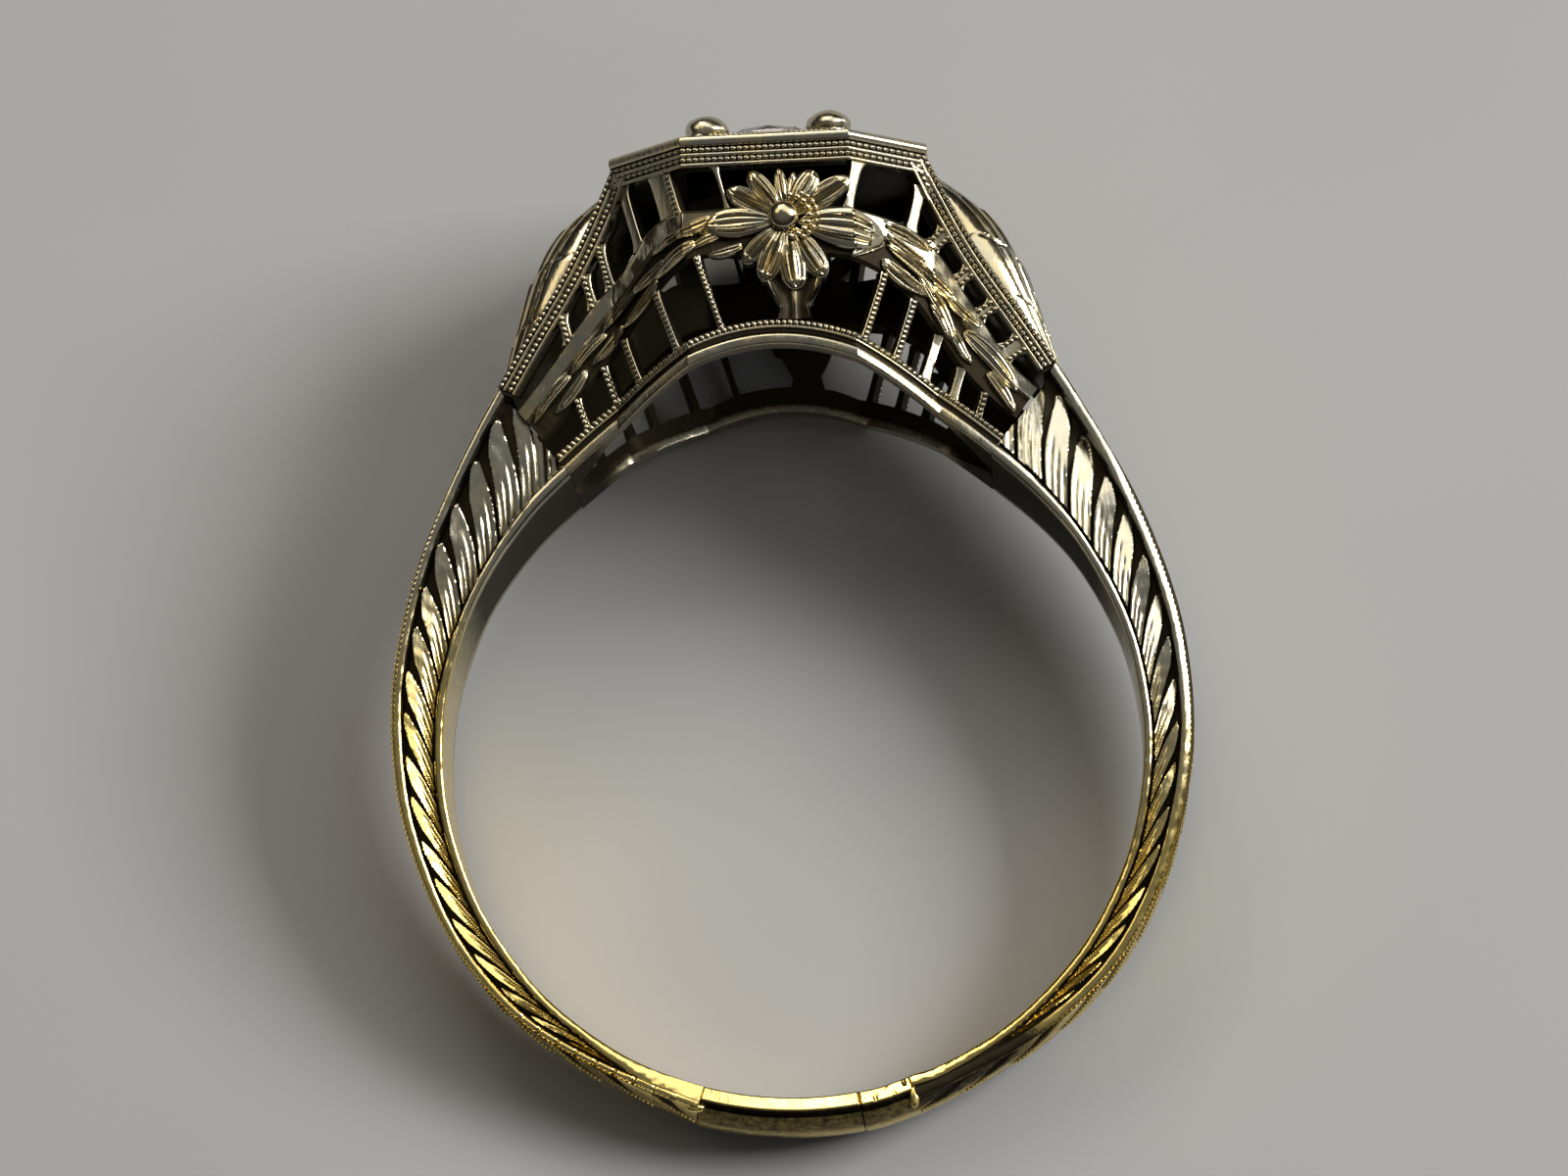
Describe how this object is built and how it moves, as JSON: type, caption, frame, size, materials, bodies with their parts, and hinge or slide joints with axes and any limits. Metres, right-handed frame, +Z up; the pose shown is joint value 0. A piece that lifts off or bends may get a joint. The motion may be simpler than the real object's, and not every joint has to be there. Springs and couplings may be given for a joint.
{
  "type": "engagement ring",
  "caption": "Finger ring with a tapering engraved shank, an octagonal openwork head with leaf and flower galleries, and a round stone held by corner beads in a square setting.",
  "frame": {"origin": "centre of the finger hole, midway across the ring's width", "axes": "+Y from the shank to the head, +X to the right, +Z up from the table that the ring lies on; the ring's own axis leans from +Z by the angle at which head and shank both touch the table"},
  "size_m": [0.019, 0.0245, 0.0088],
  "materials": {
    "white_gold": "polished white gold with dark patina in the recesses",
    "shank_gold": "polished, worn to a warm yellow at the bottom of the shank",
    "stone": "clear, faintly violet, faceted"
  },
  "bodies": {
    "root": {"base_rail_far": "white_gold", "base_rail_near": "white_gold", "calyx_far": "white_gold", "calyx_near": "white_gold", "centre_stone": "stone", "corner_beads": "white_gold", "finger_rail_far": "white_gold", "finger_rail_near": "white_gold", "flower_boss_far": "white_gold", "flower_boss_near": "white_gold", "flower_far": "white_gold", "flower_near": "white_gold", "leaf_swag_far_left": "white_gold", "leaf_swag_far_right": "white_gold", "leaf_swag_near_left": "white_gold", "leaf_swag_near_right": "white_gold", "lower_bars_far": "white_gold", "lower_bars_near": "white_gold", "setting_box": "white_gold", "shank_left": "shank_gold", "shank_right": "shank_gold", "shoulder_leaf_left": "white_gold", "shoulder_leaf_right": "white_gold", "shoulder_plate_left": "white_gold", "shoulder_plate_right": "white_gold", "sizing_insert": "shank_gold", "top_plate": "white_gold", "top_rail_far": "white_gold", "top_rail_near": "white_gold", "upper_bars_far": "white_gold", "upper_bars_near": "white_gold"}
  },
  "joints": []
}
